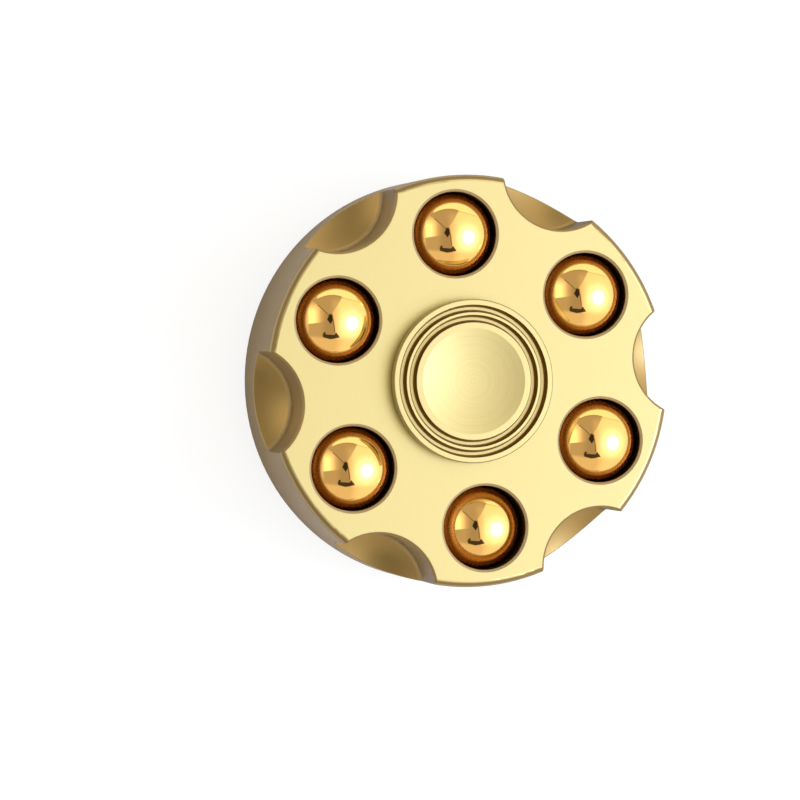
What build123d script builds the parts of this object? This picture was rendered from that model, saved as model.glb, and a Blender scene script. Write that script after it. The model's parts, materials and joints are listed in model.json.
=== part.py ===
from build123d import *

import os
from math import acos, asin, cos, degrees, hypot, radians, sin

# A fluted disc spinner. A heavy rotor carries six dome-ended slugs and turns on a small
# shielded ball bearing. Two ringed finger caps screw together through the bearing.
# The origin is the bearing's centre. +Z is the spin axis and leaves the fluted face.
# Slug 1 lies on +Y and the others follow clockwise, seen from the front.

# Rotor body: a disc with rounded rims.
BODY_RADIUS = 25.88
BODY_THICKNESS = 16.3
RIM_ROUND = 0.85
EDGE_BREAK = 0.28

# Flutes: scoops milled down from the front face, with a rounded corner and a bowl floor.
FLUTE_COUNT = 6
FLUTE_RADIUS = 7.42
FLUTE_AXIS_RADIUS = 28.95
FLUTE_STRAIGHT = 7.0
FLUTE_CORNER = 1.2
FLUTE_BOWL_RADIUS = 12.0
FLUTE_EXIT_ROUND = 0.15

# Wells: through bores midway between the flutes, one slug in each.
WELL_COUNT = 6
WELL_RADIUS = 5.3
WELL_PITCH_RADIUS = 18.52
WELL_CHAMFER = 0.31

# Slugs: plain cylinders with a spherical dome on both ends and a groove at mid-length.
SLUG_RADIUS = 5.2
SLUG_LENGTH = 18.2
DOME_RADIUS = 5.65
DOME_STANDS_PROUD = 1.45
DEEP_SLUG = 4
DEEP_SLUG_DROP = 0.8
ORING_INNER_RADIUS = 4.5
ORING_WIDTH = 1.2
ORING_ROUND = 0.35
ORING_GROOVE_SLACK = 0.15

# Bearing: an inch-size miniature, 1/4 x 1/2 x 3/16, with ten 1/16 balls.
BEARING_BORE_RADIUS = 3.175
BEARING_RADIUS = 6.35
BEARING_WIDTH = 4.7625
BALL_COUNT = 10
BALL_RADIUS = 0.79375
BALL_PITCH_RADIUS = 4.7625
TRACK_RADIUS = 0.82
INNER_SHOULDER_RADIUS = 4.3
OUTER_SHOULDER_RADIUS = 5.2
RACE_CHAMFER = 0.15

# Cage: a one-piece crown that snaps over the balls.
CAGE_INNER_RADIUS = 4.45
CAGE_OUTER_RADIUS = 5.05
CAGE_FLOOR = -1.35
CAGE_TIP = 0.45
POCKET_RADIUS = 0.85
CAGE_SLOT_RADIUS = 0.28

# Shields: thin washers in a recess of the outer race, each held by a sprung wire.
SHIELD_INNER_RADIUS = 4.42
SHIELD_OUTER_RADIUS = 5.78
SHIELD_SEAT = 1.7
SHIELD_THICKNESS = 0.25
RECESS_RADIUS = 5.8
WIRE_RADIUS = 0.18
WIRE_RING_RADIUS = 5.66
WIRE_GROOVE_RADIUS = 5.86
WIRE_SPAN = 335.0

# Bearing seat: a lip in front of the bearing and a retaining clip behind it.
LIP_RADIUS = 5.7
MOUTH_CHAMFER = 0.3
CIRCLIP_THICKNESS = 0.8
CIRCLIP_OUTER_RADIUS = 6.7
CIRCLIP_INNER_RADIUS = 5.65
CIRCLIP_GROOVE_RADIUS = 6.75
CIRCLIP_GROOVE_SLACK = 0.05
CIRCLIP_HALF_GAP = 14.0
LUG_ANGLE = 20.0
LUG_RING_RADIUS = 5.6
LUG_RADIUS = 0.95
LUG_HOLE_RADIUS = 0.42

# Finger caps: a flange with two ring grooves round a shallow dish, on a boss and stem.
CAP_RADIUS = 10.24
CAP_STANDS_PROUD = 1.8
CAP_GAP = 0.35
CAP_EDGE = 0.12
RING_GROOVES = ((9.56, 8.60), (8.29, 7.33))
RING_GROOVE_DEPTH = 0.84
RING_GROOVE_FLARE = 0.31
DISH_RADIUS = 6.6
DISH_DEPTH = 0.6
BOSS_RADIUS = 3.9
STEM_RADIUS = 3.165
STEM_END = -0.9
PILOT_END = 1.1
STUD_RADIUS = 1.97
STUD_END = -3.8
STUD_CHAMFER = 0.3
TAP_RADIUS = 2.0
TAP_END = 4.5
DRILL_TIP = 1.2

# Worked out from the sizes above.
FACE = BODY_THICKNESS / 2
BEARING_FACE = BEARING_WIDTH / 2
CAP_TOP = FACE + CAP_STANDS_PROUD
CAP_UNDERSIDE = FACE + CAP_GAP
SLUG_LIFT = FACE + DOME_STANDS_PROUD - SLUG_LENGTH / 2
CLEAR = 1.0
NEAR = 0.01


def polar(radius, angle):
    """The point at a radius and an angle in degrees from +X."""
    return (radius * cos(radians(angle)), radius * sin(radians(angle)))


def well_angle(number):
    """Direction of a numbered well: 1 is on +Y and the rest go clockwise."""
    return 90.0 - (number - 1) * 360.0 / WELL_COUNT


def turned(*lines):
    """A solid turned about Z from joined lines drawn as (radius, height)."""
    return revolve(Plane.XZ * make_face(lines), Axis.Z)


def turned_corners(*corners):
    """A solid turned about Z from the corners of its half section."""
    return turned(Polyline(*corners, close=True))


def ring(inner, outer, low, high):
    """A plain ring about Z."""
    return turned_corners((inner, low), (outer, low), (outer, high), (inner, high))


def flute_cutter():
    """A bull-nosed cutter standing on its own axis, flared to break the front edge."""
    wall_foot = FACE - FLUTE_STRAIGHT
    flare_foot = FACE - EDGE_BREAK
    flared = FLUTE_RADIUS + EDGE_BREAK + CLEAR
    corner_offset = FLUTE_RADIUS - FLUTE_CORNER
    centre_gap = FLUTE_BOWL_RADIUS - FLUTE_CORNER
    lean = degrees(asin(corner_offset / centre_gap))
    bowl_centre = wall_foot + centre_gap * cos(radians(lean))
    bowl = CenterArc((0, bowl_centre), FLUTE_BOWL_RADIUS, -90, lean)
    corner = CenterArc((corner_offset, wall_foot), FLUTE_CORNER, lean - 90, 90 - lean)
    side = Polyline(
        corner @ 1,
        (FLUTE_RADIUS, flare_foot),
        (flared, FACE + CLEAR),
        (0, FACE + CLEAR),
        bowl @ 0,
    )
    return turned(bowl, corner, side)


def well_cutter():
    """A through bore with a chamfered mouth at both faces."""
    mouth = WELL_RADIUS + WELL_CHAMFER + CLEAR
    throat = FACE - WELL_CHAMFER
    return turned_corners(
        (0, -FACE - CLEAR),
        (mouth, -FACE - CLEAR),
        (WELL_RADIUS, -throat),
        (WELL_RADIUS, throat),
        (mouth, FACE + CLEAR),
        (0, FACE + CLEAR),
    )


def bearing_seat_cutter():
    """The stepped bore: front lip, bearing seat, clip groove and open back."""
    groove_end = -BEARING_FACE - CIRCLIP_THICKNESS - CIRCLIP_GROOVE_SLACK
    throat = FACE - MOUTH_CHAMFER
    flare = MOUTH_CHAMFER + CLEAR
    return turned_corners(
        (0, FACE + CLEAR),
        (LIP_RADIUS + flare, FACE + CLEAR),
        (LIP_RADIUS, throat),
        (LIP_RADIUS, BEARING_FACE),
        (BEARING_RADIUS, BEARING_FACE),
        (BEARING_RADIUS, -BEARING_FACE),
        (CIRCLIP_GROOVE_RADIUS, -BEARING_FACE),
        (CIRCLIP_GROOVE_RADIUS, groove_end),
        (BEARING_RADIUS, groove_end),
        (BEARING_RADIUS, -throat),
        (BEARING_RADIUS + flare, -FACE - CLEAR),
        (0, -FACE - CLEAR),
    )


def is_flute_exit(edge):
    """Whether an edge is one where a flute breaks out through the disc's side."""
    points = [edge @ share for share in (0, 0.5, 1)]
    on_side = all(abs(hypot(point.X, point.Y) - BODY_RADIUS) < NEAR for point in points)
    is_side_seam = all(abs(point.Y) < NEAR for point in points)
    return on_side and not is_side_seam and edge.geom_type != GeomType.CIRCLE


def rotor_body():
    """The disc with its rounded rims, six flutes, six wells and the bearing seat."""
    disc = Cylinder(BODY_RADIUS, BODY_THICKNESS)
    disc = fillet(disc.edges().filter_by(GeomType.CIRCLE), RIM_ROUND)
    flute = Pos(FLUTE_AXIS_RADIUS, 0, 0) * flute_cutter()
    flutes = [Rot(0, 0, i * 360 / FLUTE_COUNT) * flute for i in range(FLUTE_COUNT)]
    wells = [
        Pos(*polar(WELL_PITCH_RADIUS, well_angle(number)), 0) * well_cutter()
        for number in range(1, WELL_COUNT + 1)
    ]
    fluted = disc - flutes
    fluted = fillet([edge for edge in fluted.edges() if is_flute_exit(edge)], FLUTE_EXIT_ROUND)
    return fluted - wells - bearing_seat_cutter()


def slug():
    """A dome-ended slug about Z, with the groove for its O-ring."""
    dome_centre = SLUG_LENGTH / 2 - DOME_RADIUS
    edge_angle = degrees(acos(SLUG_RADIUS / DOME_RADIUS))
    front = CenterArc((0, dome_centre), DOME_RADIUS, edge_angle, 90 - edge_angle)
    back = CenterArc((0, -dome_centre), DOME_RADIUS, -90, 90 - edge_angle)
    groove = ORING_WIDTH / 2 + ORING_GROOVE_SLACK
    side = Polyline(
        back @ 1,
        (SLUG_RADIUS, -groove),
        (ORING_INNER_RADIUS, -groove),
        (ORING_INNER_RADIUS, groove),
        (SLUG_RADIUS, groove),
        front @ 0,
    )
    axis = Line(front @ 1, back @ 0)
    return turned(back, side, front, axis)


def slug_oring():
    """The O-ring as it sits: squeezed between the slug's groove and the well."""
    depth = WELL_RADIUS - ORING_INNER_RADIUS
    middle = (WELL_RADIUS + ORING_INNER_RADIUS) / 2
    section = Pos(middle, 0) * RectangleRounded(depth, ORING_WIDTH, ORING_ROUND)
    return revolve(Plane.XZ * section, Axis.Z)


def in_well(piece, number):
    """A slug or its O-ring moved into a numbered well, at that slug's depth."""
    drop = DEEP_SLUG_DROP if number == DEEP_SLUG else 0.0
    return Pos(*polar(WELL_PITCH_RADIUS, well_angle(number)), SLUG_LIFT - drop) * piece


def ball_track():
    """The ring-shaped space that the balls run in, a little larger than they are."""
    return Torus(BALL_PITCH_RADIUS, TRACK_RADIUS)


def bearing_inner_race():
    """The race that the caps clamp, with its outside ball groove."""
    chamfered = BEARING_FACE - RACE_CHAMFER
    blank = turned_corners(
        (BEARING_BORE_RADIUS + RACE_CHAMFER, -BEARING_FACE),
        (INNER_SHOULDER_RADIUS, -BEARING_FACE),
        (INNER_SHOULDER_RADIUS, BEARING_FACE),
        (BEARING_BORE_RADIUS + RACE_CHAMFER, BEARING_FACE),
        (BEARING_BORE_RADIUS, chamfered),
        (BEARING_BORE_RADIUS, -chamfered),
    )
    return blank - ball_track()


def bearing_outer_race():
    """The race pressed into the body, stepped at both ends for a shield and its wire."""
    wire_floor = SHIELD_SEAT + SHIELD_THICKNESS
    wire_roof = wire_floor + 2 * WIRE_RADIUS
    half_section = [
        (OUTER_SHOULDER_RADIUS, SHIELD_SEAT),
        (RECESS_RADIUS, SHIELD_SEAT),
        (RECESS_RADIUS, wire_floor),
        (WIRE_GROOVE_RADIUS, wire_floor),
        (WIRE_GROOVE_RADIUS, wire_roof),
        (RECESS_RADIUS, wire_roof),
        (RECESS_RADIUS, BEARING_FACE),
        (BEARING_RADIUS - RACE_CHAMFER, BEARING_FACE),
        (BEARING_RADIUS, BEARING_FACE - RACE_CHAMFER),
    ]
    mirrored = [(radius, -height) for radius, height in reversed(half_section)]
    return turned_corners(*half_section, *mirrored) - ball_track()


def bearing_balls():
    """The ball set, evenly spaced."""
    places = [polar(BALL_PITCH_RADIUS, i * 360 / BALL_COUNT) for i in range(BALL_COUNT)]
    return Compound([Pos(x, y, 0) * Solid.make_sphere(BALL_RADIUS, angle1=-90) for x, y in places])


def bearing_cage():
    """The crown: a ring with a snap-in pocket at each ball and a slot between pockets."""
    step = 360 / BALL_COUNT
    crown = ring(CAGE_INNER_RADIUS, CAGE_OUTER_RADIUS, CAGE_FLOOR, CAGE_TIP)
    slot_length = 2 * (CAGE_OUTER_RADIUS - CAGE_INNER_RADIUS)
    slot = Pos(BALL_PITCH_RADIUS, 0, CAGE_TIP) * Rot(0, 90, 0) * Cylinder(CAGE_SLOT_RADIUS, slot_length)
    pocket = Pos(BALL_PITCH_RADIUS, 0, 0) * Sphere(POCKET_RADIUS)
    pockets = [Rot(0, 0, i * step) * pocket for i in range(BALL_COUNT)]
    slots = [Rot(0, 0, (i + 0.5) * step) * slot for i in range(BALL_COUNT)]
    return crown - pockets - slots


def shield():
    """The front shield: a thin washer that just clears the inner race."""
    return ring(SHIELD_INNER_RADIUS, SHIELD_OUTER_RADIUS, SHIELD_SEAT, SHIELD_SEAT + SHIELD_THICKNESS)


def shield_clip():
    """The front shield's sprung wire, an open ring of round wire."""
    height = SHIELD_SEAT + SHIELD_THICKNESS + WIRE_RADIUS
    section = Plane.XZ * Pos(WIRE_RING_RADIUS, height) * Circle(WIRE_RADIUS)
    return revolve(section, Axis.Z, revolution_arc=WIRE_SPAN)


def bearing_circlip():
    """The flat retaining clip behind the bearing, with its gap and two lugs on -Y."""
    reach = 2 * CIRCLIP_OUTER_RADIUS
    gap = make_face(Polyline(
        (0, 0),
        polar(reach, -90 - CIRCLIP_HALF_GAP),
        polar(reach, -90 + CIRCLIP_HALF_GAP),
        close=True,
    ))
    lug_centres = [polar(LUG_RING_RADIUS, -90 + side * LUG_ANGLE) for side in (-1, 1)]
    flat = Circle(CIRCLIP_OUTER_RADIUS) - Circle(CIRCLIP_INNER_RADIUS) - gap
    flat += [Pos(*centre) * Circle(LUG_RADIUS) for centre in lug_centres]
    flat -= [Pos(*centre) * Circle(LUG_HOLE_RADIUS) for centre in lug_centres]
    return Pos(0, 0, -BEARING_FACE - CIRCLIP_THICKNESS) * extrude(flat, CIRCLIP_THICKNESS)


def finger_cap(*tail):
    """A cap facing +Z: the dished and ringed flange, its boss, then a stem or stud."""
    floor = CAP_TOP - RING_GROOVE_DEPTH
    face = [(DISH_RADIUS, CAP_TOP)]
    for outer, inner in reversed(RING_GROOVES):
        face += [
            (inner, CAP_TOP),
            (inner + RING_GROOVE_FLARE, floor),
            (outer - RING_GROOVE_FLARE, floor),
            (outer, CAP_TOP),
        ]
    outline = Polyline(
        *face,
        (CAP_RADIUS - CAP_EDGE, CAP_TOP),
        (CAP_RADIUS, CAP_TOP - CAP_EDGE),
        (CAP_RADIUS, CAP_UNDERSIDE + CAP_EDGE),
        (CAP_RADIUS - CAP_EDGE, CAP_UNDERSIDE),
        (BOSS_RADIUS, CAP_UNDERSIDE),
        (BOSS_RADIUS, BEARING_FACE),
        (STEM_RADIUS, BEARING_FACE),
        *tail,
        (0, CAP_TOP - DISH_DEPTH),
    )
    dish = TangentArc((0, CAP_TOP - DISH_DEPTH), (DISH_RADIUS, CAP_TOP), tangent=(1, 0))
    return turned(dish, outline)


def front_cap():
    """The cap on the fluted side: its stem is tapped to take the other cap's stud."""
    return finger_cap(
        (STEM_RADIUS, STEM_END),
        (TAP_RADIUS, STEM_END),
        (TAP_RADIUS, TAP_END),
        (0, TAP_END + DRILL_TIP),
    )


def back_cap():
    """The cap on the plain side: a short pilot in the bearing, then the stud."""
    facing_front = finger_cap(
        (STEM_RADIUS, PILOT_END),
        (STUD_RADIUS, PILOT_END),
        (STUD_RADIUS, STUD_END + STUD_CHAMFER),
        (STUD_RADIUS - STUD_CHAMFER, STUD_END),
        (0, STUD_END),
    )
    return turned_over(facing_front)


def turned_over(piece):
    """A front piece turned half a turn about X to serve on the back."""
    return Rot(180, 0, 0) * piece


def all_pieces():
    """Every node's name and solid."""
    pieces = {
        "rotor_body": rotor_body(),
        "bearing_outer_race": bearing_outer_race(),
        "bearing_inner_race": bearing_inner_race(),
        "bearing_balls": bearing_balls(),
        "bearing_cage": bearing_cage(),
        "front_shield": shield(),
        "back_shield": turned_over(shield()),
        "front_shield_clip": shield_clip(),
        "back_shield_clip": turned_over(shield_clip()),
        "bearing_circlip": bearing_circlip(),
        "front_cap": front_cap(),
        "back_cap": back_cap(),
    }
    for number in range(1, WELL_COUNT + 1):
        pieces[f"slug_{number}"] = in_well(slug(), number)
        pieces[f"slug_oring_{number}"] = in_well(slug_oring(), number)
    return pieces


os.makedirs("parts", exist_ok=True)
for name, piece in all_pieces().items():
    export_step(piece, f"parts/{name}.step")
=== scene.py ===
import json
from math import pi, radians

import bpy
from mathutils import Matrix, Vector


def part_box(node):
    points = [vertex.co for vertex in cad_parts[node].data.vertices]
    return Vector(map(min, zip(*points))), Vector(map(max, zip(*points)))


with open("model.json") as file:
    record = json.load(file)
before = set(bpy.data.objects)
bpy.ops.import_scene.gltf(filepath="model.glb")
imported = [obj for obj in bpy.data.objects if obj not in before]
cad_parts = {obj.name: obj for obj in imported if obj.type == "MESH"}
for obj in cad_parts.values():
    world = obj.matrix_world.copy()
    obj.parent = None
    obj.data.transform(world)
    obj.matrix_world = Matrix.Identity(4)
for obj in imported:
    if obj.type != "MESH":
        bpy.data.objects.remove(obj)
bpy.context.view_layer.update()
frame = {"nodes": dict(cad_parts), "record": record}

MM = 0.001


# ---------------------------------------------------------------- places, from the frame

BODY_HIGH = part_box("rotor_body")[1]
FACE_HEIGHT = BODY_HIGH.z
BODY_RADIUS = BODY_HIGH.x
FLOOR_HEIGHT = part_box("back_cap")[0].z
CAP_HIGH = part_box("front_cap")[1]
CAP_TOP = CAP_HIGH.z
CAP_RADIUS = CAP_HIGH.x
DISH_RADIUS = 6.6 * MM
WELL_COUNT = 6
SLUG_LOW, SLUG_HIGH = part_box("slug_1")
WELL_PITCH_RADIUS = (SLUG_LOW.y + SLUG_HIGH.y) / 2
RING_LOW, RING_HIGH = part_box("slug_oring_1")
WELL_RADIUS = (RING_HIGH.x - RING_LOW.x) / 2
WELL_CHAMFER = 0.31 * MM
WELL_LIP_RADIUS = WELL_RADIUS + WELL_CHAMFER


# ---------------------------------------------------------------- camera

LENS = 156.8
SENSOR = 36.0
CLIP_START, CLIP_END = 0.01, 20.0
VIEW_DISTANCE = 436.4 * MM
VIEW_OFFSET = Vector((8.83, 2.37, 0.0)) * MM
TILT_UP = 0.726
TILT_SIDE = 12.982
SPIN_IN_VIEW = 5.96


def add_camera():
    """The photograph's view: nearly square on, from a little to the left of the spin axis."""
    turn = (
        Matrix.Rotation(radians(TILT_UP), 3, "X")
        @ Matrix.Rotation(radians(TILT_SIDE), 3, "Y")
        @ Matrix.Rotation(radians(SPIN_IN_VIEW), 3, "Z")
    )
    eye_from_face = Vector((-VIEW_OFFSET.x, -VIEW_OFFSET.y, VIEW_DISTANCE))
    camera = bpy.data.objects.new("camera", bpy.data.cameras.new("camera"))
    camera.data.lens = LENS
    camera.data.sensor_width = SENSOR
    camera.data.clip_start = CLIP_START
    camera.data.clip_end = CLIP_END
    place = Matrix.Translation(Vector((0, 0, FACE_HEIGHT)) + turn.transposed() @ eye_from_face)
    camera.matrix_world = place @ turn.transposed().to_4x4()
    bpy.context.scene.collection.objects.link(camera)
    bpy.context.scene.camera = camera


add_camera()


# ---------------------------------------------------------------- node helpers

def new_material(name):
    material = bpy.data.materials.new(name)
    material.use_nodes = True
    tree = material.node_tree
    tree.nodes.clear()
    return material, tree


def node(tree, kind, **settings):
    made = tree.nodes.new(kind)
    for key, value in settings.items():
        setattr(made, key, value)
    return made


def feed(tree, socket, value):
    """Link an output into a socket, or set the socket to a plain value."""
    if isinstance(value, (int, float, tuple)):
        socket.default_value = value
    else:
        tree.links.new(value, socket)


def math_node(tree, operation, first, second=None, third=None):
    made = node(tree, "ShaderNodeMath", operation=operation)
    for index, value in enumerate((first, second, third)):
        if value is not None:
            feed(tree, made.inputs[index], value)
    return made.outputs[0]


def ramp_node(tree, value, low, high, start=0.0, end=1.0):
    """A value's range from low to high spread smoothly over start to end."""
    made = node(tree, "ShaderNodeMapRange", interpolation_type="SMOOTHSTEP")
    tree.links.new(value, made.inputs["Value"])
    made.inputs["From Min"].default_value = low
    made.inputs["From Max"].default_value = high
    made.inputs["To Min"].default_value = start
    made.inputs["To Max"].default_value = end
    return made.outputs["Result"]


def mix_colour(tree, share, first, second):
    """Colour first at share 0 and second at share 1."""
    made = node(tree, "ShaderNodeMix", data_type="RGBA")
    feed(tree, made.inputs["Factor"], share)
    feed(tree, made.inputs[6], first)
    feed(tree, made.inputs[7], second)
    return made.outputs[2]


def camera_or_other(tree, other, camera):
    """One shader for what the camera sees directly and another for every other ray."""
    path = node(tree, "ShaderNodeLightPath")
    made = node(tree, "ShaderNodeMixShader")
    tree.links.new(path.outputs["Is Camera Ray"], made.inputs[0])
    tree.links.new(other, made.inputs[1])
    tree.links.new(camera, made.inputs[2])
    return made.outputs[0]


# ---------------------------------------------------------------- world: a light tent

class Chart:
    """Directions laid flat: degrees right (side) and up from the spin axis, as the camera sees them."""

    def __init__(self, tree):
        self.tree = tree
        coordinates = node(tree, "ShaderNodeTexCoord")
        turned = node(tree, "ShaderNodeVectorRotate", rotation_type="Z_AXIS")
        turned.inputs["Angle"].default_value = radians(SPIN_IN_VIEW)
        tree.links.new(coordinates.outputs["Generated"], turned.inputs["Vector"])
        split = node(tree, "ShaderNodeSeparateXYZ")
        tree.links.new(turned.outputs[0], split.inputs[0])
        x, y, z = split.outputs
        flat = self.do("SQRT", self.do("ADD", self.do("MULTIPLY", x, x), self.do("MULTIPLY", y, y)))
        flat = self.do("MAXIMUM", flat, 1e-5)
        polar = self.do("MULTIPLY", self.do("ARCTAN2", flat, z), 180 / pi)
        scale = self.do("DIVIDE", polar, flat)
        self.side = self.do("MULTIPLY", x, scale)
        self.up = self.do("MULTIPLY", y, scale)

    def do(self, operation, first, second=None, third=None):
        return math_node(self.tree, operation, first, second, third)

    def step(self, value, low, high):
        """0 up to low, 1 from high, smooth between. Low may be above high."""
        if low > high:
            return ramp_node(self.tree, value, high, low, 1.0, 0.0)
        return ramp_node(self.tree, value, low, high)

    def offset(self, start, end):
        """Degrees to the left of the line from start to end."""
        across = Vector(end) - Vector(start)
        left = Vector((-across.y, across.x)).normalized()
        total = self.do("MULTIPLY_ADD", self.side, left.x, -left.dot(Vector(start)))
        return self.do("MULTIPLY_ADD", self.up, left.y, total)

    def left_of(self, start, end, blur):
        return self.step(self.offset(start, end), -blur / 2, blur / 2)

    def away(self, centre):
        """Degrees from a centre."""
        across = self.do("SUBTRACT", self.side, centre[0])
        along = self.do("SUBTRACT", self.up, centre[1])
        squares = self.do("ADD", self.do("MULTIPLY", across, across), self.do("MULTIPLY", along, along))
        return self.do("SQRT", squares)

    def spot(self, centre, radius, blur):
        return self.step(self.away(centre), radius + blur / 2, radius - blur / 2)

    def glow(self, centre, spread):
        """A bell-shaped glow."""
        distance = self.do("MULTIPLY", self.away(centre), 1 / spread)
        return self.do("POWER", 2.718, self.do("MULTIPLY", self.do("MULTIPLY", distance, distance), -0.5))

    def inside(self, corners, blur):
        """Inside a convex shape whose corners go anticlockwise."""
        edges = zip(corners, corners[1:] + corners[:1])
        return self.all(*(self.left_of(start, end, blur) for start, end in edges))

    def seam(self, start, end, width, blur):
        """A thin band along a line, between its two ends."""
        across = (Vector(end) - Vector(start)).normalized()
        left = Vector((-across.y, across.x)) * (width / 2)
        start, end = Vector(start), Vector(end)
        return self.inside([start - left, end - left, end + left, start + left], blur)

    def lay(self, under, over, mask):
        """Brightness over put on brightness under, where the mask says."""
        mix = node(self.tree, "ShaderNodeMix", data_type="FLOAT")
        feed(self.tree, mix.inputs[0], mask)
        feed(self.tree, mix.inputs[2], under)
        feed(self.tree, mix.inputs[3], over)
        return mix.outputs[0]

    def all(self, *masks):
        mask = masks[0]
        for other in masks[1:]:
            mask = self.do("MULTIPLY", mask, other)
        return mask


# Brightness and colour of the two kinds of light: the tent's panels and the lamp behind them.
TENT_GAIN = 1.25
TENT_COLOUR = (1.0, 0.84, 0.6, 1)
LAMP_COLOUR = (0.86, 1.0, 1.34, 1)
LAMP_PLACE = (43, -7)
HALO_SPREAD, HALO_LEVEL = 18, 1.25
LAMP_RADIUS, LAMP_BLUR, LAMP_LEVEL = 12, 20, 3.4

# Lines on the chart, in degrees right and up.
CENTRE_LINE = ((-1, -30), (-9, 20))
LEFT_PANEL_HEM = ((-80, -10), (-20, -2))
TOP_PANEL_RIGHT = ((-16, 12), (22, 62))
TOP_PANEL_LEFT = ((-48, 46), (-16, 14))
ROOF_CENTRE, ROOF_RADIUS = (-10, -10), 79.5
ROOF_RIGHT_HEM = ((75, 47), (22, 60.5))

# Dark shapes on the chart, with their corners anticlockwise.
LENS_SLIT = [(-23, 3), (-14, -9), (-8, 1), (-9, 14), (-16, 18)]
TABLE_EDGE = [(-31, -45), (-12, -49), (13, -43), (8, -37), (-33, -36)]
TABLE_CORNER = [(-33, -38), (-26, -38), (-25, -31), (-30, -30)]
TABLE_WEDGE = [(-3, -38), (10, -39), (1, -29.5)]


def left_panels(chart):
    above = chart.lay(0.36, 0.62, chart.step(chart.side, -22, -44))
    below = chart.lay(0.36, 0.46, chart.step(chart.side, -22, -44))
    left = chart.lay(below, above, chart.step(chart.offset(*LEFT_PANEL_HEM), -2, 2))
    bright = chart.all(
        chart.step(chart.side, -36, -60),
        chart.step(chart.offset(*LEFT_PANEL_HEM), -1.5, 1.5),
        chart.step(chart.up, 54, 22),
    )
    left = chart.lay(left, 1.5, bright)
    return chart.lay(left, 0.7, chart.step(chart.side, -68, -78))


def top_panel(chart):
    top = chart.lay(0.42, 0.56, chart.step(chart.side, -18, 4))
    top = chart.lay(top, 0.42, chart.step(chart.up, 42, 66))
    return top, chart.all(chart.left_of(*TOP_PANEL_RIGHT, 3), chart.left_of(*TOP_PANEL_LEFT, 2))


def add_roof(chart, level):
    """The tent's roof, beyond the top panel's curved hem and the right panel's straight one."""
    curved = chart.do("SUBTRACT", chart.away(ROOF_CENTRE), ROOF_RADIUS)
    straight = chart.do("MULTIPLY", chart.offset(*ROOF_RIGHT_HEM), -1.0)
    hem = chart.lay(curved, straight, chart.step(chart.side, 20, 24))
    roof = chart.all(chart.step(hem, -0.5, 1.5), chart.step(chart.side, -50, -38))
    crease = chart.all(
        chart.step(hem, -3.5, -1.5),
        chart.step(hem, 1.0, -0.5),
        chart.step(chart.side, -52, -38),
        chart.step(chart.side, 80, 66),
    )
    crease_level = chart.lay(0.38, 0.8, chart.step(chart.side, 20, 28))
    return chart.lay(chart.lay(level, 1.22, roof), crease_level, crease)


def panel_brightness(chart):
    """The soft tent that surrounds the spinner: panels, seams, the lens slit and the table's edge."""
    right = chart.lay(0.75, 1.1, chart.step(chart.side, -8, 16))
    low = chart.lay(0.68, 0.95, chart.step(chart.side, 0, 30))
    right = chart.lay(right, low, chart.step(chart.up, -44, -58))
    level = chart.lay(left_panels(chart), right, chart.left_of(*CENTRE_LINE, -3))
    level = chart.lay(level, low, chart.step(chart.up, -40, -52))
    level = chart.lay(level, *top_panel(chart))
    level = chart.lay(level, 0.2, chart.seam((-18, 14), (-46, 44), 2.6, 1.5))
    level = chart.lay(level, 0.55, chart.seam((-9, 20), (22, 62), 1.6, 1.5))
    level = add_roof(chart, level)
    level = chart.lay(level, 0.17, chart.seam((-8, 3), (-2, -30), 2.4, 1.5))
    level = chart.lay(level, 0.03, chart.inside(LENS_SLIT, 3))
    for corners in (TABLE_EDGE, TABLE_CORNER, TABLE_WEDGE):
        level = chart.lay(level, 0.05, chart.inside(corners, 2))
    return chart.do("MULTIPLY", level, TENT_GAIN)


def lamp_brightness(chart):
    """The lamp behind the right-hand panel: a core and a halo, cut off by the centre line."""
    halo = chart.do("MULTIPLY", chart.glow(LAMP_PLACE, HALO_SPREAD), HALO_LEVEL)
    core = chart.spot(LAMP_PLACE, LAMP_RADIUS, LAMP_BLUR)
    glow = chart.do("MULTIPLY_ADD", core, LAMP_LEVEL, halo)
    glow = chart.do("MULTIPLY", glow, chart.step(chart.offset(*CENTRE_LINE), 2, -6))
    return chart.do("MULTIPLY", glow, TENT_GAIN)


def make_world():
    world = bpy.data.worlds.new("studio")
    bpy.context.scene.world = world
    world.use_nodes = True
    tree = world.node_tree
    tree.nodes.clear()
    chart = Chart(tree)
    light = node(tree, "ShaderNodeAddShader")
    parts = ((panel_brightness(chart), TENT_COLOUR), (lamp_brightness(chart), LAMP_COLOUR))
    for index, (strength, colour) in enumerate(parts):
        part = node(tree, "ShaderNodeBackground")
        part.inputs["Color"].default_value = colour
        tree.links.new(strength, part.inputs["Strength"])
        tree.links.new(part.outputs[0], light.inputs[index])
    backdrop = node(tree, "ShaderNodeBackground")
    backdrop.inputs["Color"].default_value = (1.0, 1.0, 1.0, 1)
    out = node(tree, "ShaderNodeOutputWorld")
    seen = camera_or_other(tree, light.outputs[0], backdrop.outputs[0])
    tree.links.new(seen, out.inputs["Surface"])


make_world()


# ---------------------------------------------------------------- floor

FLOOR_HALF_WIDTH = 1.5
FLOOR_COLOUR = (0.17, 0.19, 0.22, 1)
FLOOR_GLOW = 0.85

# What the metal sees of the floor: left and right colours, near the spinner and far from it, with painted
# shadow near the spinner and painted light towards the lamp.
TABLE_NEAR_SHADED = ((0.5, 0.48, 0.7, 1), (0.23, 0.24, 0.29, 1))
TABLE_FAR_LIT = ((0.72, 0.7, 0.74, 1), (0.85, 0.86, 0.95, 1))
TABLE_LEFT, TABLE_RIGHT = -20 * MM, 30 * MM
TABLE_NEAR_RADIUS, TABLE_FAR_RADIUS = 40 * MM, 90 * MM


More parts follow.
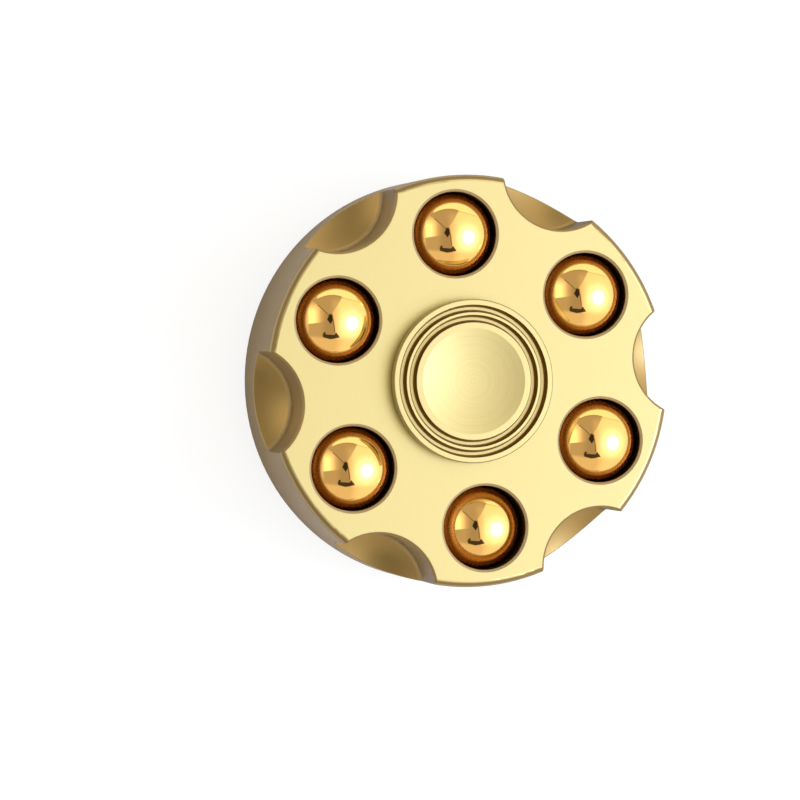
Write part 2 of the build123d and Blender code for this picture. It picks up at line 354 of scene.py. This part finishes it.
def add_floor():
    """A white sweep: bright to the camera, with only a faint contact shadow."""
    size = FLOOR_HALF_WIDTH
    mesh = bpy.data.meshes.new("floor")
    corners = [(-size, -size, 0), (size, -size, 0), (size, size, 0), (-size, size, 0)]
    mesh.from_pydata(corners, [], [(0, 1, 2, 3)])
    floor = bpy.data.objects.new("floor", mesh)
    floor.location.z = FLOOR_HEIGHT
    bpy.context.scene.collection.objects.link(floor)
    material, tree = new_material("floor")
    lit = node(tree, "ShaderNodeBsdfDiffuse")
    lit.inputs["Color"].default_value = FLOOR_COLOUR
    glow = node(tree, "ShaderNodeEmission")
    glow.inputs["Strength"].default_value = FLOOR_GLOW
    both = node(tree, "ShaderNodeAddShader")
    tree.links.new(lit.outputs[0], both.inputs[0])
    tree.links.new(glow.outputs[0], both.inputs[1])

    # What the metal sees of it: a dim, cool table with painted shadow near the spinner and painted light
    # towards the lamp.
    place = node(tree, "ShaderNodeTexCoord")
    split = node(tree, "ShaderNodeSeparateXYZ")
    tree.links.new(place.outputs["Object"], split.inputs[0])
    x, y, _ = split.outputs
    squares = math_node(tree, "MULTIPLY_ADD", x, x, math_node(tree, "MULTIPLY", y, y))
    radius = math_node(tree, "SQRT", squares)
    rightward = ramp_node(tree, x, TABLE_LEFT, TABLE_RIGHT)
    outward = ramp_node(tree, radius, TABLE_NEAR_RADIUS, TABLE_FAR_RADIUS)
    near_shaded = mix_colour(tree, rightward, *TABLE_NEAR_SHADED)
    far_lit = mix_colour(tree, rightward, *TABLE_FAR_LIT)
    shaded_table = node(tree, "ShaderNodeBsdfDiffuse")
    tree.links.new(mix_colour(tree, outward, near_shaded, far_lit), shaded_table.inputs["Color"])
    out = node(tree, "ShaderNodeOutputMaterial")
    seen = camera_or_other(tree, shaded_table.outputs[0], both.outputs[0])
    tree.links.new(seen, out.inputs["Surface"])
    mesh.materials.append(material)


add_floor()


# ---------------------------------------------------------------- metal finishes

class Finish:
    """One finish's node tree, with the texture nodes that its surface is made of."""

    def __init__(self, name, metallic=1.0, roughness=0.3):
        self.material, self.tree = new_material(name)
        self.shader = node(self.tree, "ShaderNodeBsdfPrincipled")
        self.shader.inputs["Metallic"].default_value = metallic
        self.shader.inputs["Roughness"].default_value = roughness
        out = node(self.tree, "ShaderNodeOutputMaterial")
        self.tree.links.new(self.shader.outputs[0], out.inputs["Surface"])
        coordinates = node(self.tree, "ShaderNodeTexCoord")
        self.place = coordinates.outputs["Object"]
        self.x, self.y, self.z = self.split(self.place)
        self.radius = self.hypot(self.x, self.y)
        self.flatness = self.do("ABSOLUTE", self.split(coordinates.outputs["Normal"])[2])
        self.height = None

    def split(self, vector):
        made = node(self.tree, "ShaderNodeSeparateXYZ")
        self.tree.links.new(vector, made.inputs[0])
        return made.outputs

    def do(self, operation, first, second=None, third=None):
        return math_node(self.tree, operation, first, second, third)

    def hypot(self, first, second):
        squares = self.do("MULTIPLY_ADD", first, first, self.do("MULTIPLY", second, second))
        return self.do("SQRT", squares)

    def noise(self, size, detail=2.0, place=None):
        """Noise from 0 to 1 whose lumps are about this size."""
        made = node(self.tree, "ShaderNodeTexNoise")
        made.inputs["Scale"].default_value = 1 / size
        made.inputs["Detail"].default_value = detail
        self.tree.links.new(place or self.place, made.inputs["Vector"])
        return made.outputs["Fac"]

    def span(self, value, low, high, start=0.0, end=1.0):
        return ramp_node(self.tree, value, low, high, start, end)

    def under(self, value, low, high):
        """1 below low and 0 above high."""
        return self.span(value, low, high, 1.0, 0.0)

    def mix(self, share, first, second):
        return mix_colour(self.tree, share, first, second)

    def tint(self, mask, most, under, over):
        """Colour over on colour under, as far as most, where the mask says."""
        return self.mix(self.do("MULTIPLY", mask, most), under, over)

    def set(self, socket, value):
        self.tree.links.new(value, self.shader.inputs[socket])

    def bump(self, height, distance, strength):
        made = node(self.tree, "ShaderNodeBump")
        made.inputs["Strength"].default_value = strength
        made.inputs["Distance"].default_value = distance
        self.tree.links.new(height, made.inputs["Height"])
        if self.height is not None:
            self.tree.links.new(self.height, made.inputs["Normal"])
        self.height = made.outputs[0]
        self.tree.links.new(self.height, self.shader.inputs["Normal"])

    def from_well(self):
        """Distance from the nearest well's axis: the six sectors folded into one."""
        turn = self.do("DIVIDE", self.do("ARCTAN2", self.y, self.x), 2 * pi / WELL_COUNT)
        swing = self.do("SUBTRACT", self.do("FLOORED_MODULO", turn, 1.0), 0.5)
        swing = self.do("MULTIPLY", swing, 2 * pi / WELL_COUNT)
        along = self.do("MULTIPLY_ADD", self.radius, self.do("COSINE", swing), -WELL_PITCH_RADIUS)
        across = self.do("MULTIPLY", self.radius, self.do("SINE", swing))
        return self.hypot(along, across)


# Colours of the pale gold anodising and its grain, and the painted shade and painted reflections of its
# flutes, wells, rims, grooves and edges.
BODY_GOLD = ((0.588, 0.534, 0.266, 1), (0.622, 0.563, 0.282, 1))
CAP_GOLD = ((0.598, 0.542, 0.27, 1), (0.632, 0.57, 0.286, 1))
GRAIN_GOLD = (0.44, 0.37, 0.16, 1)
FLUTE_WALL_SHADE = (0.39, 0.32, 0.17, 1)
FLUTE_BOWL_SHADE = (0.26, 0.14, 0.04, 1)
FLUTE_EDGE_SHADE = (0.2, 0.17, 0.1, 1)
RIM_SHADE = (0.2, 0.13, 0.1, 1)
WELL_LIP_REFLECTION = (0.5, 0.46, 0.33, 1)
WELL_BORE_SHADE = (0.26, 0.19, 0.12, 1)
GROOVE_FLOOR_SHADE = (0.5, 0.42, 0.2, 1)
GROOVE_WALL_SHADE = (0.33, 0.21, 0.06, 1)
CAP_EDGE_SHADE = (0.2, 0.2, 0.14, 1)


def flute_areas(made):
    """Masks for the flutes and for their broken front edges, where shade is painted."""
    height, radius = made.z, made.radius
    inner = made.under(radius, BODY_RADIUS - 0.3 * MM, BODY_RADIUS - 0.15 * MM)
    exit_edge = made.under(radius, BODY_RADIUS - 0.04 * MM, BODY_RADIUS - 0.02 * MM)
    under_rim = made.under(height, FACE_HEIGHT - 1.1 * MM, FACE_HEIGHT - 0.9 * MM)
    inner = made.do("MAXIMUM", inner, made.do("MULTIPLY", exit_edge, under_rim))
    inner = made.do("MULTIPLY", inner, made.span(height, -4 * MM, -3 * MM))
    under_face = made.under(height, FACE_HEIGHT - 0.06 * MM, FACE_HEIGHT - 0.02 * MM)
    flute = made.do("MULTIPLY", inner, under_face)
    chamfer = made.span(height, FACE_HEIGHT - 0.32 * MM, FACE_HEIGHT - 0.27 * MM)
    return flute, made.do("MULTIPLY", flute, chamfer)


def body_finish():
    """Bead-blasted aluminium, anodised pale gold, with painted shade in the flutes, well bores, rims and
    flute edges, and duller lips greyed as a painted reflection.
    """
    made = Finish("anodised_body")
    from_well = made.from_well()
    bore = made.under(from_well, WELL_RADIUS + 0.02 * MM, WELL_RADIUS + 0.05 * MM)
    mouth = made.under(from_well, WELL_LIP_RADIUS, WELL_LIP_RADIUS + 0.03 * MM)
    lip = made.do("SUBTRACT", mouth, bore)
    depth = made.do("ABSOLUTE", made.z)
    rim = made.do(
        "MULTIPLY",
        made.span(made.radius, BODY_RADIUS - 0.75 * MM, BODY_RADIUS - 0.35 * MM),
        made.span(depth, FACE_HEIGHT - 1.2 * MM, FACE_HEIGHT - 0.8 * MM),
    )
    flute, shaded_edge = flute_areas(made)
    cloud = made.noise(6 * MM, 3)
    grain = made.noise(0.14 * MM, 2)
    skin = made.mix(cloud, *BODY_GOLD)
    skin = made.mix(made.span(grain, 0.3, 0.7, 0.0, 0.12), skin, GRAIN_GOLD)
    # Painted shade and painted reflection: the flutes' walls and bowls darkened and browned, standing in
    # for the shade and the gold's own reflections in them.
    flute_shade = made.mix(made.span(made.flatness, 0.3, 0.7), FLUTE_WALL_SHADE, FLUTE_BOWL_SHADE)
    skin = made.tint(flute, 0.65, skin, flute_shade)
    # Painted shade: a dark line along the flutes' broken front edges.
    skin = made.tint(shaded_edge, 0.2, skin, FLUTE_EDGE_SHADE)
    # Painted shade: the rounded front and back rims darkened.
    skin = made.tint(rim, 0.3, skin, RIM_SHADE)
    # Painted reflection: the wells' chamfered lips greyed for the sky they reflect; their extra roughness
    # is real.
    skin = made.mix(lip, skin, WELL_LIP_REFLECTION)
    # Painted shade: the well bores darkened.
    made.set("Base Color", made.mix(bore, skin, WELL_BORE_SHADE))
    rough = made.span(made.do("ADD", cloud, grain), 0.5, 1.5, 0.37, 0.43)
    for area, change in ((bore, -0.12), (lip, 0.15), (rim, 0.12), (shaded_edge, 0.12)):
        rough = made.do("MULTIPLY_ADD", area, change, rough)
    made.set("Roughness", rough)
    blasted = made.do("MULTIPLY", grain, made.do("SUBTRACT", 1.0, bore))
    made.bump(blasted, 0.004 * MM, 0.6)
    return made.material


def cap_finish():
    """Fine-turned aluminium with the same gold anodising: close rings round the axis, with painted shade
    in the grooves and round the outer edge.
    """
    made = Finish("anodised_cap")
    radius = made.radius
    wander = made.do("MULTIPLY", made.noise(3 * MM), 0.02 * MM)
    tool_path = made.do("ADD", radius, wander)
    turns = made.do("SINE", made.do("MULTIPLY", tool_path, 2 * pi / (0.07 * MM)))
    streak = node(made.tree, "ShaderNodeCombineXYZ")
    made.tree.links.new(radius, streak.inputs["X"])
    bands = made.noise(0.25 * MM, 3, streak.outputs[0])
    depth = made.do("ABSOLUTE", made.z)
    dish = made.under(radius, DISH_RADIUS, DISH_RADIUS + 0.05 * MM)
    groove = made.do(
        "MULTIPLY",
        made.under(depth, CAP_TOP - 0.1 * MM, CAP_TOP - 0.04 * MM),
        made.do("SUBTRACT", 1.0, dish),
    )
    within = made.under(radius, CAP_RADIUS - 0.4 * MM, CAP_RADIUS - 0.35 * MM)
    groove = made.do("MULTIPLY", groove, within)
    wall = made.do("MULTIPLY", groove, made.under(made.flatness, 0.6, 0.9))
    shaded_edge = made.do(
        "MULTIPLY",
        made.span(radius, CAP_RADIUS - 0.14 * MM, CAP_RADIUS - 0.1 * MM),
        made.span(depth, CAP_TOP - 0.2 * MM, CAP_TOP - 0.14 * MM),
    )
    skin = made.mix(made.noise(5 * MM, 3), *CAP_GOLD)
    skin = made.mix(made.span(bands, 0.35, 0.7, 0.0, 0.14), skin, GRAIN_GOLD)
    # Painted shade: the cap's grooves darkened, their walls most.
    skin = made.tint(groove, 0.5, skin, GROOVE_FLOOR_SHADE)
    skin = made.tint(wall, 0.85, skin, GROOVE_WALL_SHADE)
    # Painted shade: a dark line round the cap's outer edge.
    made.set("Base Color", made.tint(shaded_edge, 0.7, skin, CAP_EDGE_SHADE))
    rough = made.span(bands, 0.3, 0.7, 0.33, 0.4)
    made.set("Roughness", made.do("MULTIPLY_ADD", made.do("ADD", dish, shaded_edge), 0.12, rough))
    made.bump(turns, 0.0015 * MM, 0.5)
    made.bump(bands, 0.003 * MM, 0.4)
    return made.material


def gold_finish():
    """Mirror-polished plating: a faint orange-peel and hair-fine wipe marks."""
    made = Finish("gold_plate", roughness=0.02)
    cloud = made.noise(2.5 * MM, 2)
    made.set("Base Color", made.mix(cloud, (1.0, 0.655, 0.255, 1), (1.0, 0.67, 0.265, 1)))
    made.set("Roughness", made.span(made.noise(0.8 * MM, 4), 0.35, 0.75, 0.015, 0.035))
    made.bump(made.noise(1.6 * MM, 1), 0.002 * MM, 0.35)
    return made.material


def steel_finish(name, dark, light, roughness, grain_size):
    """Ground or polished steel with a fine grain."""
    made = Finish(name)
    grain = made.noise(grain_size, 3)
    made.set("Base Color", made.mix(made.span(grain, 0.3, 0.7), dark, light))
    made.set("Roughness", made.span(grain, 0.3, 0.7, roughness * 0.8, roughness * 1.2))
    made.bump(grain, 0.002 * MM, 0.4)
    return made.material


def rubber_finish():
    """Matt black rubber with a moulded skin."""
    made = Finish("oring_rubber", metallic=0.0)
    grain = made.noise(0.1 * MM, 3)
    made.set("Base Color", made.mix(grain, (0.018, 0.018, 0.019, 1), (0.045, 0.044, 0.043, 1)))
    made.set("Roughness", made.span(grain, 0.3, 0.7, 0.55, 0.75))
    made.bump(grain, 0.006 * MM, 0.5)
    return made.material


# Each steel's dark and light colour, roughness and grain size.
STEELS = {
    "bearing_steel": ((0.5, 0.5, 0.5, 1), (0.66, 0.66, 0.67, 1), 0.25, 0.08 * MM),
    "bearing_ball": ((0.7, 0.7, 0.71, 1), (0.78, 0.78, 0.79, 1), 0.05, 0.3 * MM),
    "spring_steel": ((0.2, 0.2, 0.21, 1), (0.36, 0.35, 0.35, 1), 0.3, 0.1 * MM),
}
FINISHES = {
    "anodised_body": body_finish(),
    "anodised_cap": cap_finish(),
    "gold_plate": gold_finish(),
    "oring_rubber": rubber_finish(),
}
for slot, steel in STEELS.items():
    FINISHES[slot] = steel_finish(slot, *steel)
for part in frame["record"]["subparts"]:
    mesh = frame["nodes"][part["node"]].data
    mesh.materials.clear()
    mesh.materials.append(FINISHES[part["material_slot"]])

bpy.context.scene.view_settings.view_transform = "Standard"
